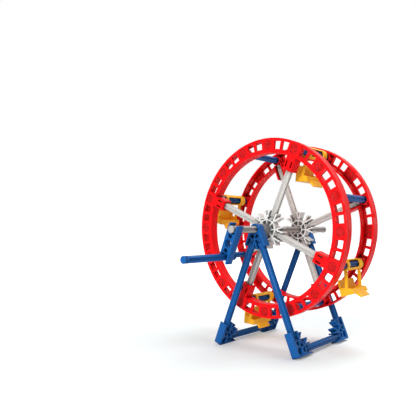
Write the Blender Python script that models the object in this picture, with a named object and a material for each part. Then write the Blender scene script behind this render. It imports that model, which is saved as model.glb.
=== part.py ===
"""Toy ferris wheel built from snap-together rods and connectors.

The model is in metres with +Z up. Y runs along the axle, and the crank is at -Y, the front.
The origin is on the table, under the middle of the whole toy's box. Angles round the wheel
are counted from +X, counter-clockwise as seen from the front.
"""
import math

import bmesh
import bpy
from mathutils import Matrix, Vector

MM = 0.001

# Rods: a round bar with four grooves, and a neck and a disc at each end
ROD_DIAMETER = 4.5 * MM
ROD_GROOVE_DEPTH = 0.5 * MM
NECK_DIAMETER = 3.2 * MM
NECK_LENGTH = 1.3 * MM
DISC_DIAMETER = 4.4 * MM
DISC_LENGTH = 0.9 * MM
BASE_ROD_LENGTH = 43.0 * MM
SPOKE_LENGTH = 43.0 * MM
HANDLE_LENGTH = 41.5 * MM
AXLE_LENGTH = 108.0 * MM

# Connectors: flat fans of clips round a ringed hole
FIT = 0.15 * MM
CONNECTOR_THICKNESS = 5.4 * MM
RING_WALL = 0.9 * MM
SEAT_RADIUS = 6.6 * MM
SEAT_WALL = 0.9 * MM
RIB_WIDTH = 0.9 * MM
FINGER_LENGTH = 5.7 * MM
FINGER_WALL = 1.2 * MM
FINGER_FLARE = 0.45 * MM
NOTCH_DEPTH = 3.7 * MM
OUTER_WALL = 1.2 * MM
OUTER_CORNER = 1.2 * MM

# Stand: two A-frames joined by two rods at the feet
LEG_ANGLE = math.radians(22.5)
FOOT_FLAT = 1.1 * MM
SWING_CLEARANCE = 2.033 * MM

# Wheel: two rims of four quarters, with the spokes of the rear one turned by half a step
REAR_CLEARANCE = 1.65 * MM
RIM_DEPTH = 6.1 * MM
RIM_WEB = 1.2 * MM
RIM_FLANGE = 1.2 * MM
RIM_OUTER_MARGIN = 4.3 * MM
RIM_INNER_MARGIN = 5.0 * MM
QUARTERS = 4
BOSSES = 4
BOSS_RADIUS = 3.1 * MM
BOSS_RECESS = 0.3 * MM
CUP_WALL = 0.9 * MM
CUP_FLOOR = 1.2 * MM
WINDOW_HEIGHT = 5.0 * MM
WINDOW_MARGIN = 0.135 * MM
WINDOW_BAR = 1.9 * MM
JOINT_OFFSET = 4.0 * MM
PLATE_HALF_WIDTH = 4.7 * MM
PLATE_THICKNESS = 0.8 * MM
PLATE_EDGE = 0.6 * MM
SOCKET_LENGTH = 8.8 * MM
SOCKET_WIDTH = 7.0 * MM
SOCKET_STOP = 0.9 * MM
SLIT_WIDTH = 0.7 * MM
SLIT_LENGTH = 3.8 * MM
SLIT_INSET = 2.1 * MM
SPOKE_ANGLE = math.radians(65.9)

# Axle fittings
COLLAR_WALL = 1.2 * MM
COLLAR_LENGTH = 6.75 * MM
CRANK_FRONT = 51.8 * MM
CRANK_ANGLE = math.radians(247.0)
HANDLE_REAR = 42.4 * MM
AXLE_FRONT = 53.0 * MM

# Gondolas: a barrel round the rod, two straps and a seat that faces +X
GONDOLA_WIDTH = 20.0 * MM
GONDOLA_SHIFT = 2.3 * MM
BARREL_WALL = 1.05 * MM
BARREL_FIT = 0.25 * MM
BARREL_WINDOW_FRONT = 8.2 * MM
BARREL_WINDOW_REAR = 6.0 * MM
BARREL_WINDOW_HALF = 2.35 * MM
STRAP_WIDTH = 1.9 * MM
STRAP_THICKNESS = 1.4 * MM
STRAP_INSET = 0.1 * MM
SEAT_WALL_THICKNESS = 1.2 * MM
SEAT_BACK_X = -7.0 * MM
SEAT_FRONT_X = 2.2 * MM
BACK_TOP_Z = -8.0 * MM
ARM_BACK_Z = -12.9 * MM
ARM_FRONT_Z = -15.0 * MM
SEAT_BOTTOM_Z = -18.5 * MM
BACK_CORNER = 1.5 * MM
FOOTREST_WIDTH = 11.5 * MM
FOOTREST_REACH = 2.7 * MM
FOOTREST_DROP = 2.8 * MM
FOOTREST_THICKNESS = 1.2 * MM
GONDOLA_TILTS = [math.radians(a) for a in (-5.0, -16.0, -5.0, 16.0)]

ROUND = 12
BOSS_ROUND = 10
CUP_ROUND = 8
RIM_STEPS = 9

# Exact quarter turns of a prism: the outline's X and Y to Y and Z, or to X and Z
FACING_X = Matrix(((0, 0, 1, 0), (1, 0, 0, 0), (0, 1, 0, 0), (0, 0, 0, 1)))
FACING_Y = Matrix(((1, 0, 0, 0), (0, 0, -1, 0), (0, 1, 0, 0), (0, 0, 0, 1)))

# Sizes that follow from those above
ROD_RADIUS = ROD_DIAMETER / 2
DISC_RADIUS = DISC_DIAMETER / 2
BORE_RADIUS = (ROD_RADIUS + FIT) / math.cos(math.pi / ROUND)
RING_RADIUS = BORE_RADIUS + RING_WALL
SLOT_HALF = ROD_RADIUS + FIT
POCKET_HALF = DISC_RADIUS + FIT
COLLAR_HALF = NECK_DIAMETER / 2 + 1.5 * FIT
ROD_START = SEAT_RADIUS + FIT
FINGER_TIP = SEAT_RADIUS + FINGER_LENGTH
OUTER_FACE = SLOT_HALF + OUTER_WALL
HALF_STEP = math.radians(22.5)
FRAME_Y = BASE_ROD_LENGTH / 2 + ROD_START
SPOKE_END = ROD_START + SPOKE_LENGTH
CUP_BORE = (ROD_RADIUS + FIT) / math.cos(math.pi / CUP_ROUND)
CUP_RADIUS = CUP_BORE + CUP_WALL
BOSS_CIRCLE = SPOKE_END + FIT + SOCKET_STOP + CUP_BORE
RIM_OUTER = BOSS_CIRCLE + RIM_OUTER_MARGIN
RIM_INNER = BOSS_CIRCLE - RIM_INNER_MARGIN
FRONT_RIM_Y = -FRAME_Y + CONNECTOR_THICKNESS + COLLAR_LENGTH + 2 * FIT
REAR_RIM_Y = FRAME_Y - CONNECTOR_THICKNESS - REAR_CLEARANCE
RIM_SPACING = REAR_RIM_Y - FRONT_RIM_Y
WHEEL_OFFSET = (REAR_RIM_Y + FRONT_RIM_Y) / 2
WINDOW_WIDTH = (BOSS_CIRCLE * HALF_STEP - WINDOW_BAR) / 2 - PLATE_HALF_WIDTH - WINDOW_MARGIN
CROSS_ROD_LENGTH = RIM_SPACING + RIM_DEPTH - 2 * (CUP_FLOOR + FIT)
SEAT_REACH = math.hypot(SEAT_FRONT_X + FOOTREST_REACH - FOOTREST_THICKNESS, SEAT_BOTTOM_Z - FOOTREST_DROP)
LEG_SPAN = BOSS_CIRCLE + SEAT_REACH + SWING_CLEARANCE + ROD_RADIUS
LEG_LENGTH = LEG_SPAN - 2 * ROD_START
SIDE_GRIP = SEAT_RADIUS + FIT + ROD_RADIUS
FOOT_DROP = (OUTER_FACE * math.cos(LEG_ANGLE) + CONNECTOR_THICKNESS / 2 * math.sin(LEG_ANGLE)
             - FOOT_FLAT * math.sin(LEG_ANGLE) * math.cos(LEG_ANGLE))
AXLE_HEIGHT = LEG_SPAN * math.cos(LEG_ANGLE) + FOOT_DROP


def clear_scene():
    """Remove what is in the scene, and keep the file open."""
    for obj in list(bpy.data.objects):
        bpy.data.objects.remove(obj, do_unlink=True)


def plastic(name, color, roughness):
    """A moulded plastic: colour, roughness and no metal."""
    material = bpy.data.materials.new(name)
    material.use_nodes = True
    shader = material.node_tree.nodes["Principled BSDF"]
    shader.inputs["Base Color"].default_value = (*color, 1.0)
    shader.inputs["Roughness"].default_value = roughness
    shader.inputs["Metallic"].default_value = 0.0
    material.diffuse_color = (*color, 1.0)
    return material


def polar(radius, angle):
    """The point at an angle on a circle round the origin."""
    return Vector((radius * math.cos(angle), radius * math.sin(angle)))


def circle(radius, count, center=(0.0, 0.0)):
    """A regular outline with its corners on a circle."""
    turn = math.pi / count
    return [polar(radius, 2 * math.pi * i / count + turn) + Vector(center) for i in range(count)]


def mesh_from(bm, name):
    """Turn a finished bmesh into a mesh that is smooth but for its sharp edges."""
    bmesh.ops.recalc_face_normals(bm, faces=bm.faces)
    mesh = bpy.data.meshes.new(name)
    bm.to_mesh(mesh)
    bm.free()
    mesh.shade_smooth()
    mesh.set_sharp_from_angle(angle=math.radians(35))
    return mesh


def fill(bm, loops):
    """Fill the flat area inside the first loop and outside the others."""
    edges = []
    for loop in loops:
        for i in range(len(loop)):
            pair = (loop[i - 1], loop[i])
            edges.append(bm.edges.get(pair) or bm.edges.new(pair))
    bmesh.ops.triangle_fill(bm, edges=edges, use_beauty=True)


def prism(name, outline, holes, bottom, top):
    """Fill an outline with holes in XY, and extrude it from bottom to top along Z."""
    bm = bmesh.new()
    fill(bm, [[bm.verts.new((p[0], p[1], bottom)) for p in loop] for loop in [outline] + holes])
    grown = bmesh.ops.extrude_face_region(bm, geom=bm.faces[:], use_keep_orig=True)
    raised = [item for item in grown["geom"] if isinstance(item, bmesh.types.BMVert)]
    bmesh.ops.translate(bm, verts=raised, vec=(0.0, 0.0, top - bottom))
    return mesh_from(bm, name)


def triangulated(mesh):
    """Merge the vertices that meet, and split every face into flat triangles."""
    bm = bmesh.new()
    bm.from_mesh(mesh)
    bmesh.ops.remove_doubles(bm, verts=bm.verts, dist=0.001 * MM)
    bmesh.ops.triangulate(bm, faces=bm.faces)
    bm.to_mesh(mesh)
    bm.free()
    return mesh


def boolean(mesh, tool, operation):
    """Join a tool mesh to a mesh, or cut it out, and return the result."""
    collection = bpy.context.scene.collection
    body = bpy.data.objects.new("body", triangulated(mesh))
    cutter = bpy.data.objects.new("cutter", triangulated(tool))
    for obj in (body, cutter):
        collection.objects.link(obj)
    modifier = body.modifiers.new("shape", "BOOLEAN")
    modifier.operation = operation
    modifier.solver = "EXACT"
    modifier.object = cutter
    graph = bpy.context.evaluated_depsgraph_get()
    result = bpy.data.meshes.new_from_object(body.evaluated_get(graph))
    result.name = mesh.name
    for obj in (body, cutter):
        bpy.data.objects.remove(obj, do_unlink=True)
    for old in (mesh, tool):
        bpy.data.meshes.remove(old)
    return result


def join(mesh, *tools):
    """Join several meshes into one closed body."""
    for tool in tools:
        mesh = boolean(mesh, tool, "UNION")
    return mesh


def cut(mesh, *tools):
    """Cut several meshes out of one body."""
    for tool in tools:
        mesh = boolean(mesh, tool, "DIFFERENCE")
    return mesh


def moved(mesh, matrix):
    """Turn or move a mesh."""
    mesh.transform(matrix)
    return mesh


def rod_ring(bm, z, radius, groove):
    """Twelve points round the rod; every third one lies in a groove."""
    ring = []
    for index in range(12):
        point = polar(radius - (groove if index % 3 == 0 else 0.0), index * math.pi / 6)
        ring.append(bm.verts.new((point.x, point.y, z)))
    return ring


def rod(name, length, necks=True):
    """A grooved bar along Z, centred, with a neck and a disc at both ends or with plain ends."""
    half = length / 2
    if necks:
        ends = [(half, DISC_RADIUS, 0.0), (half - DISC_LENGTH, DISC_RADIUS, 0.0),
                (half - DISC_LENGTH - NECK_LENGTH / 3, NECK_DIAMETER / 2, 0.0),
                (half - DISC_LENGTH - NECK_LENGTH, ROD_RADIUS, ROD_GROOVE_DEPTH)]
    else:
        ends = [(half, ROD_RADIUS, ROD_GROOVE_DEPTH)]
    sections = ends + [(-z, radius, groove) for z, radius, groove in reversed(ends)]
    bm = bmesh.new()
    rings = [rod_ring(bm, *section) for section in sections]
    for upper, lower in zip(rings, rings[1:]):
        for i in range(len(upper)):
            bm.faces.new((upper[i - 1], upper[i], lower[i], lower[i - 1]))
    bm.faces.new(rings[0])
    bm.faces.new(rings[-1])
    return mesh_from(bm, name)


def slot_profile(collar):
    """One side of a slot, from the seat out to the finger's tip: (along, across)."""
    disc_end = ROD_START + DISC_LENGTH
    neck = [(disc_end + FIT, POCKET_HALF), (disc_end + NECK_LENGTH / 3, COLLAR_HALF)] if collar else []
    return [(SEAT_RADIUS, POCKET_HALF)] + neck + [(disc_end + NECK_LENGTH, SLOT_HALF),
                                                  (FINGER_TIP - FINGER_FLARE, SLOT_HALF),
                                                  (FINGER_TIP, SLOT_HALF + FINGER_FLARE)]


def placed(point, angle):
    """Turn a slot's own point (along, across) to the slot's angle."""
    return Matrix.Rotation(angle, 2) @ Vector(point)


def connector(name, slots, collar=True, straight=False):
    """A fan of slots. The angles rise, and the way from the last back to the first is walled.

    A full circle of slots has no wall. Neighbours half a right angle apart share a finger root,
    and a wider step shows the octagonal seat wall between two slots, or a straight edge.
    """
    inner = slot_profile(collar)
    tip_outer = (FINGER_TIP - FINGER_FLARE, SLOT_HALF + FINGER_WALL)
    step = 2 * HALF_STEP
    full = len(slots) * step > 2 * math.pi - 0.01
    notch_radius = FINGER_TIP - NOTCH_DEPTH
    corner = SEAT_RADIUS / math.cos(HALF_STEP)
    outline = []
    for index, angle in enumerate(slots):
        first = index == 0 and not full
        last = index == len(slots) - 1 and not full
        start = (FINGER_TIP, -OUTER_FACE) if first else (tip_outer[0], -tip_outer[1])
        end = (FINGER_TIP, OUTER_FACE) if last else tip_outer
        side = [(along, -across) for along, across in reversed(inner)] + inner
        outline += [placed(point, angle) for point in [start] + side + [end]]
        if last:
            continue
        following = slots[(index + 1) % len(slots)]
        gap = (following - angle) % (2 * math.pi)
        if gap < step * 1.5:
            outline.append(polar(notch_radius, angle + HALF_STEP))
        elif not straight:
            root = SEAT_RADIUS * math.sqrt(2) - tip_outer[1]
            outline.append(placed((root, tip_outer[1]), angle))
            corners = range(1, round(gap / step) - 1)
            outline += [polar(corner, angle + HALF_STEP + i * step) for i in corners]
            outline.append(placed((root, -tip_outer[1]), following))
    if not full:
        outline += closed_side(slots[-1], slots[0] + 2 * math.pi)
    holes = [circle(BORE_RADIUS, ROUND)]
    rib = RIB_WIDTH / 2 / math.cos(HALF_STEP)
    near = RING_RADIUS
    far = SEAT_RADIUS - SEAT_WALL
    last_window = round((slots[-1] - slots[0]) / step)
    for index in (0, last_window) if straight else range(last_window + 1):
        window = [(r, side * (r * math.tan(HALF_STEP) - rib)) for r, side in
                  ((near, -1), (far, -1), (far, 1), (near, 1))]
        holes.append([placed(point, slots[0] + index * step) for point in window])
    half = CONNECTOR_THICKNESS / 2
    return prism(name, outline, holes, -half, half)


def closed_side(last, first):
    """The outer wall from the last slot round the back to the first: straight, with a corner."""
    turn = (first - last) - math.pi
    if abs(turn) < 0.01:
        return []
    if turn > math.pi / 2 + 0.01:
        count = 6
        start = last + math.pi / 2
        return [polar(OUTER_FACE, start + turn * i / count) for i in range(count + 1)]
    meeting = OUTER_FACE / math.cos(turn / 2)
    tip = polar(meeting, (last + first) / 2)
    along = OUTER_CORNER * math.tan(turn / 2)
    count = 3
    center = tip - polar(OUTER_CORNER / math.cos(turn / 2), (last + first) / 2)
    start = last + math.pi / 2
    if along <= 0:
        return [tip]
    return [center + polar(OUTER_CORNER, start + turn * i / count) for i in range(count + 1)]


def foot(name, lean):
    """A three-slot corner piece, cut level where it meets the table.

    The slots lie at 0, 45 and 90 degrees. The base rod comes in along the one at 0, and the leg
    along the one at 90. The table lies towards -Y, and leans to -Z or +Z by the leg's angle.
    """
    mesh = connector(name, [0.0, 2 * HALF_STEP, 4 * HALF_STEP])
    bm = bmesh.new()
    bm.from_mesh(mesh)
    down = Vector((0.0, -math.cos(LEG_ANGLE), -lean * math.sin(LEG_ANGLE)))
    result = bmesh.ops.bisect_plane(bm, geom=bm.verts[:] + bm.edges[:] + bm.faces[:],
                                    plane_co=down * FOOT_DROP, plane_no=down, clear_outer=True)
    rim = [item for item in result["geom_cut"] if isinstance(item, bmesh.types.BMEdge)]
    bmesh.ops.edgenet_fill(bm, edges=rim)
    bpy.data.meshes.remove(mesh)
    return mesh_from(bm, name)


def window_outlines():
    """The pairs of windows of a quarter, one pair between each two bosses."""
    width = WINDOW_WIDTH / BOSS_CIRCLE
    bar = WINDOW_BAR / BOSS_CIRCLE
    low = BOSS_CIRCLE - WINDOW_HEIGHT / 2
    high = BOSS_CIRCLE + WINDOW_HEIGHT / 2
    windows = []
    for index in range(BOSSES):
        middle = (index + 0.5) * math.pi / 2 / BOSSES
        for first in (middle - bar / 2 - width, middle + bar / 2):
            last = first + width
            windows.append([polar(low, first), polar(high, first), polar(high, last), polar(low, last)])
    return windows


def rim_channel(name):
    """A quarter of the rim: a channel that opens to -Z, with windows in its web."""
    half = RIM_DEPTH / 2
    web = half - RIM_WEB
    inner = RIM_INNER + RIM_FLANGE
    outer = RIM_OUTER - RIM_FLANGE
    section = [(RIM_INNER, half), (RIM_INNER, -half), (inner, -half), (inner, web),
               (outer, web), (outer, -half), (RIM_OUTER, -half), (RIM_OUTER, half)]
    start = (FIT / 2 - JOINT_OFFSET) / BOSS_CIRCLE
    sweep = math.pi / 2 - FIT / BOSS_CIRCLE
    bm = bmesh.new()
    rows = []
    for index in range(RIM_STEPS + 1):
        points = [(polar(radius, start + sweep * index / RIM_STEPS), z) for radius, z in section]
        rows.append([bm.verts.new((p.x, p.y, z)) for p, z in points])
    for row, following in zip(rows, rows[1:]):
        for i in (0, 1, 2, 4, 5, 6):
            bm.faces.new((row[i], row[i + 1], following[i + 1], following[i]))
    bm.faces.new(rows[0])
    bm.faces.new(rows[-1])
    sheets = []
    for z, left, right in ((half, 0, 7), (web, 3, 4)):
        edge = [row[left] for row in rows] + [row[right] for row in reversed(rows)]
        holes = [[bm.verts.new((p.x, p.y, z)) for p in window] for window in window_outlines()]
        fill(bm, [edge] + holes)
        sheets.append(holes)
    for upper, lower in zip(*sheets):
        for i in range(4):
            bm.faces.new((upper[i - 1], upper[i], lower[i], lower[i - 1]))
    return mesh_from(bm, name)


def box(name, low, high):
    """A block between two corners."""
    outline = [(low[0], low[1]), (high[0], low[1]), (high[0], high[1]), (low[0], high[1])]
    return prism(name, outline, [], low[2], high[2])


def cover_plate(start, wide):
    """The plate over a spoke's socket. Its lip lies on the end of the quarter before it."""
    half = RIM_DEPTH / 2
    reach = PLATE_HALF_WIDTH
    far = RIM_OUTER - PLATE_EDGE
    outline = [(start + FIT, -wide), (RIM_INNER, -wide), (RIM_INNER, -reach), (far, -reach),
               (far, reach), (RIM_INNER, reach), (RIM_INNER, wide), (start + FIT, wide)]
    plate = prism("plate", outline, [], half - RIM_WEB / 2, half + PLATE_THICKNESS)
    return cut(plate, box("lip", (start, -2 * reach, 0.0), (RIM_OUTER, -wide, half + FIT)))


def rim_quarter(name):
    """A rim quarter: its socket at angle 0, a plate over the joint, and a boss at every step.

    The socket is a trough, open on the same side as the channel, so that the spoke snaps in.
    """
    half = RIM_DEPTH / 2
    inside = half - RIM_WEB / 2
    top = half + PLATE_THICKNESS
    start = RIM_INNER - SOCKET_LENGTH
    wide = SOCKET_WIDTH / 2
    stop = BOSS_CIRCLE - CUP_BORE - FIT
    socket = box("socket", (start, -wide, FIT - half), (stop, wide, half + 2 * FIT))
    mesh = join(rim_channel(name), socket, cover_plate(start, wide - FIT))
    for index in range(BOSSES):
        center = polar(BOSS_CIRCLE, index * math.pi / 2 / BOSSES)
        face = top if index == 0 else half
        if index % 2 == 0:
            cup = prism("cup", circle(CUP_RADIUS, CUP_ROUND, center), [], 2 * FIT - half, inside)
            bore = prism("bore", circle(CUP_BORE, CUP_ROUND, center), [], -RIM_DEPTH, half - CUP_FLOOR)
            mesh = cut(join(mesh, cup), bore)
        dish = prism("dish", circle(BOSS_RADIUS, BOSS_ROUND, center), [], face - BOSS_RECESS, RIM_DEPTH)
        mesh = cut(mesh, dish)
    trough = [Vector((-SLOT_HALF, -RIM_DEPTH)), Vector((SLOT_HALF, -RIM_DEPTH))]
    trough += [polar(BORE_RADIUS, (2 * i + 1) * math.pi / ROUND) for i in range(ROUND // 2)]
    mesh = cut(mesh, moved(prism("trough", trough, [], 0.0, SPOKE_END + FIT), FACING_X))
    slit = start + SLIT_INSET
    for low, high in ((-SLOT_HALF, SLIT_WIDTH - SLOT_HALF), (SLOT_HALF - SLIT_WIDTH, SLOT_HALF)):
        mesh = cut(mesh, box("slit", (slit, low, 0.0), (slit + SLIT_LENGTH, high, RIM_DEPTH)))
    return finish(mesh, name)


def finish(mesh, name):
    """Tidy a mesh that came out of several joins and cuts."""
    bm = bmesh.new()
    bm.from_mesh(mesh)
    bmesh.ops.remove_doubles(bm, verts=bm.verts, dist=0.002 * MM)
    bmesh.ops.dissolve_limit(bm, angle_limit=math.radians(0.5), verts=bm.verts, edges=bm.edges)
    bmesh.ops.triangulate(bm, faces=bm.faces)
    bmesh.ops.dissolve_degenerate(bm, edges=bm.edges, dist=0.002 * MM)
    bmesh.ops.triangulate(bm, faces=bm.faces)
    bpy.data.meshes.remove(mesh)
    return mesh_from(bm, name)


def side_prism(name, points, low, high):
    """Extrude an outline in XZ along Y, from low to high."""
    return moved(prism(name, points, [], -high, -low), FACING_Y)


def gondola(name):
    """A seat hung from a barrel, in the frame of its rod: X forward, Y along the rod, Z up."""
    half = GONDOLA_WIDTH / 2
    bore = (ROD_RADIUS + BARREL_FIT) / math.cos(math.pi / ROUND)
    barrel_radius = bore + BARREL_WALL
    barrel = prism(name, circle(barrel_radius, ROUND), [circle(bore, ROUND)], -half, half)
    mesh = moved(barrel, FACING_Y)
    high = BARREL_WINDOW_HALF
    window = [(BARREL_WALL / 2, -high), (2 * bore, -high), (2 * bore, high), (BARREL_WALL / 2, high)]
    mesh = cut(mesh, side_prism("window", window, -BARREL_WINDOW_FRONT, BARREL_WINDOW_REAR))
    wall = SEAT_WALL_THICKNESS
    strap_top = -(bore + BARREL_WALL / 2)
    arm_middle_x = SEAT_BACK_X + 3 * wall
    strap_foot = ARM_BACK_Z - 2 * wall
    strap = [(-STRAP_WIDTH / 2, strap_top), (arm_middle_x, strap_foot),
             (arm_middle_x + STRAP_WIDTH, strap_foot), (STRAP_WIDTH / 2, strap_top)]
    tub = [(SEAT_BACK_X, BACK_TOP_Z), (SEAT_BACK_X, SEAT_BOTTOM_Z),
           (SEAT_FRONT_X, SEAT_BOTTOM_Z + wall / 4), (SEAT_FRONT_X - wall / 2, ARM_FRONT_Z),
           (arm_middle_x, ARM_BACK_Z - wall / 2),
           (SEAT_BACK_X + wall, ARM_BACK_Z), (SEAT_BACK_X + wall, BACK_TOP_Z)]
    well = [(SEAT_BACK_X + wall, BACK_TOP_Z), (SEAT_BACK_X + wall, SEAT_BOTTOM_Z + wall),
            (SEAT_FRONT_X - wall, SEAT_BOTTOM_Z + wall), (SEAT_FRONT_X - 1.5 * wall, BACK_TOP_Z)]
    seat = side_prism("seat", tub, -half, half)
    seat = cut(seat, side_prism("well", well, wall - half, half - wall))
    for side in (-1, 1):
        corner = [(side * half, BACK_TOP_Z - BACK_CORNER), (side * (half - BACK_CORNER), BACK_TOP_Z),
                  (side * 2 * half, BACK_TOP_Z + half)]
        seat = cut(seat, moved(prism("corner", corner, [], 2 * SEAT_BACK_X, -SEAT_BACK_X), FACING_X))
    rest = [(SEAT_FRONT_X - wall, SEAT_BOTTOM_Z + wall), (SEAT_FRONT_X, SEAT_BOTTOM_Z + wall),
            (SEAT_FRONT_X + FOOTREST_REACH, SEAT_BOTTOM_Z - FOOTREST_DROP + FOOTREST_THICKNESS / 2),
            (SEAT_FRONT_X + FOOTREST_REACH - FOOTREST_THICKNESS, SEAT_BOTTOM_Z - FOOTREST_DROP),
            (SEAT_FRONT_X - 1.6 * wall, SEAT_BOTTOM_Z + wall / 2)]
    footrest = side_prism("footrest", rest, -FOOTREST_WIDTH / 2, FOOTREST_WIDTH / 2)
    outside = half - STRAP_INSET
    inside = outside - STRAP_THICKNESS
    mesh = join(mesh, join(seat, footrest), side_prism("strap", strap, -outside, -inside),
                side_prism("strap", strap, inside, outside))
    return finish(mesh, name)


def empty(name, parent, location=(0.0, 0.0, 0.0)):
    """A guide that carries the pieces that move together."""
    guide = bpy.data.objects.new(name, None)
    guide.empty_display_size = 0.01
    guide.location = location
    guide.parent = parent
    bpy.context.scene.collection.objects.link(guide)
    return guide


def place(name, mesh, material, parent, location, rotation=Matrix.Identity(3)):
    """Put a piece under its guide."""
    if not mesh.materials:
        mesh.materials.append(material)
    obj = bpy.data.objects.new(name, mesh)
    obj.parent = parent
    obj.matrix_basis = Matrix.LocRotScale(Vector(location), rotation.to_quaternion(), None)
    bpy.context.scene.collection.objects.link(obj)
    return obj


def upright(angle=0.0):
    """Stand a flat piece up facing the front, and turn it by an angle as seen from there."""
    return Matrix.Rotation(math.pi / 2, 3, "X") @ Matrix.Rotation(angle, 3, "Z")


def in_wheel(radius, angle, y):
    """A place in the wheel: radius and angle in XZ, and y along the axle."""
    return (radius * math.cos(angle), y, radius * math.sin(angle))


def radial(angle):
    """Turn a rod that lies along Z to point out of the axle at an angle."""
    return Matrix.Rotation(math.pi / 2 - angle, 3, "Y")


def build_stand(parent, blue):
    """Two frame tops, four legs, four feet and two base rods."""
    top_mesh = connector("frame_top", [math.radians(270) - LEG_ANGLE, math.radians(270) + LEG_ANGLE])
    leg_mesh = rod("leg", LEG_LENGTH)
    foot_meshes = {lean: foot("foot", lean) for lean in (-1, 1)}
    base_mesh = rod("base_rod", BASE_ROD_LENGTH)
    along_y = Matrix.Rotation(math.pi / 2, 3, "X")
    foot_x = LEG_SPAN * math.sin(LEG_ANGLE)
    foot_z = -LEG_SPAN * math.cos(LEG_ANGLE)
    for end, y in (("front", -FRAME_Y), ("rear", FRAME_Y)):
        place(end + "_frame_top", top_mesh, blue, parent, (0.0, y, 0.0), upright())
        for side, sign in (("left", -1), ("right", 1)):
            angle = math.radians(270) + sign * LEG_ANGLE
            middle = in_wheel(LEG_SPAN / 2, angle, y)
            place(f"{end}_{side}_leg", leg_mesh, blue, parent, middle, radial(angle))
            inward = Vector((0.0, -math.copysign(1.0, y), 0.0))
            up_leg = -Vector(in_wheel(1.0, angle, 0.0))
            across = inward.cross(up_leg)
            turn = Matrix((inward, up_leg, across)).transposed()
            place(f"{end}_{side}_foot", foot_meshes[1 if across.z > 0 else -1], blue, parent,
                  (sign * foot_x, y, foot_z), turn)
    for side, sign in (("left", -1), ("right", 1)):
        place(f"{side}_base_rod", base_mesh, blue, parent, (sign * foot_x, 0.0, foot_z), along_y)


def build_wheel(parent, red, white, blue, grey, dark):
    """Rims, hubs, spokes, cross rods, axle, collar, crank arm and handle."""
    quarter_mesh = rim_quarter("rim_quarter")
    hub_mesh = connector("hub", [i * 2 * HALF_STEP for i in range(8)])
    spoke_mesh = rod("spoke", SPOKE_LENGTH)
    cross_mesh = rod("cross_rod", CROSS_ROD_LENGTH, necks=False)
    along_y = Matrix.Rotation(math.pi / 2, 3, "X")
    flip = Matrix.Rotation(math.pi, 3, "X")
    quarter_turn = 2 * math.pi / QUARTERS
    for end, y, first, turned in (("front", FRONT_RIM_Y, SPOKE_ANGLE, Matrix.Identity(3)),
                                  ("rear", REAR_RIM_Y, SPOKE_ANGLE + quarter_turn / 2, flip)):
        place(end + "_hub", hub_mesh, white, parent, (0.0, y, 0.0), upright(first))
        for index in range(QUARTERS):
            angle = first + index * quarter_turn
            turn = upright(angle) @ turned
            place(f"{end}_rim_{index + 1}", quarter_mesh, red, parent, (0.0, y, 0.0), turn)
            middle = in_wheel(ROD_START + SPOKE_LENGTH / 2, angle, y)
            place(f"{end}_spoke_{index + 1}", spoke_mesh, white, parent, middle, radial(angle))
    for index in range(QUARTERS):
        for kind, offset in (("gondola_rod", 0.0), ("cross_rod", quarter_turn / 2)):
            angle = SPOKE_ANGLE + index * quarter_turn + offset
            middle = in_wheel(BOSS_CIRCLE, angle, WHEEL_OFFSET)
            place(f"{kind}_{index + 1}", cross_mesh, blue, parent, middle, along_y)
    axle_y = -AXLE_FRONT + AXLE_LENGTH / 2
    place("axle", rod("axle", AXLE_LENGTH), grey, parent, (0.0, axle_y, 0.0), along_y)
    collar = prism("front_collar", circle(BORE_RADIUS + COLLAR_WALL, ROUND), [circle(BORE_RADIUS, ROUND)],
                   -COLLAR_LENGTH / 2, COLLAR_LENGTH / 2)
    collar_y = -FRAME_Y + CONNECTOR_THICKNESS / 2 + FIT + COLLAR_LENGTH / 2
    place("front_collar", collar, dark, parent, (0.0, collar_y, 0.0), upright())
    crank_mesh = connector("crank_arm", [0.0, math.pi], collar=False, straight=True)
    crank_y = -CRANK_FRONT + CONNECTOR_THICKNESS / 2
    place("crank_arm", crank_mesh, blue, parent, in_wheel(SIDE_GRIP, CRANK_ANGLE, crank_y),
          upright(CRANK_ANGLE + math.pi))
    handle_y = -HANDLE_REAR - HANDLE_LENGTH / 2
    place("crank_handle", rod("crank_handle", HANDLE_LENGTH), blue, parent,
          in_wheel(2 * SIDE_GRIP, CRANK_ANGLE, handle_y), along_y)


def build_gondolas(parent, yellow):
    """Four seats, each with its origin on its own rod's axis."""
    mesh = gondola("gondola")
    for index, tilt in enumerate(GONDOLA_TILTS):
        angle = SPOKE_ANGLE + index * 2 * math.pi / QUARTERS
        location = in_wheel(BOSS_CIRCLE, angle, WHEEL_OFFSET + GONDOLA_SHIFT)
        place(f"gondola_{index + 1}", mesh, yellow, parent, location, Matrix.Rotation(-tilt, 3, "Y"))


def rest_on_origin(guide):
    """Move the toy so that the middle of its box's underside is at the origin."""
    bpy.context.view_layer.update()
    corners = [obj.matrix_world @ vertex.co for obj in bpy.data.objects if obj.type == "MESH"
               for vertex in obj.data.vertices]
    low = Vector([min(corner[axis] for corner in corners) for axis in range(3)])
    high = Vector([max(corner[axis] for corner in corners) for axis in range(3)])
    guide.location -= Vector(((low.x + high.x) / 2, (low.y + high.y) / 2, low.z))
    bpy.context.view_layer.update()


def main():
    """Build the toy."""
    clear_scene()
    red = plastic("red_plastic", (0.80, 0.012, 0.012), 0.30)
    blue = plastic("blue_plastic", (0.014, 0.10, 0.38), 0.34)
    white = plastic("white_plastic", (0.84, 0.82, 0.79), 0.36)
    yellow = plastic("yellow_plastic", (0.93, 0.46, 0.03), 0.36)
    grey = plastic("grey_plastic", (0.30, 0.28, 0.27), 0.40)
    dark = plastic("dark_grey_plastic", (0.13, 0.13, 0.13), 0.45)
    stand = empty("stand", None, (0.0, 0.0, AXLE_HEIGHT))
    wheel = empty("wheel", stand)
    build_stand(stand, blue)
    build_wheel(wheel, red, white, blue, grey, dark)
    build_gondolas(wheel, yellow)
    rest_on_origin(stand)


main()
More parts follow.
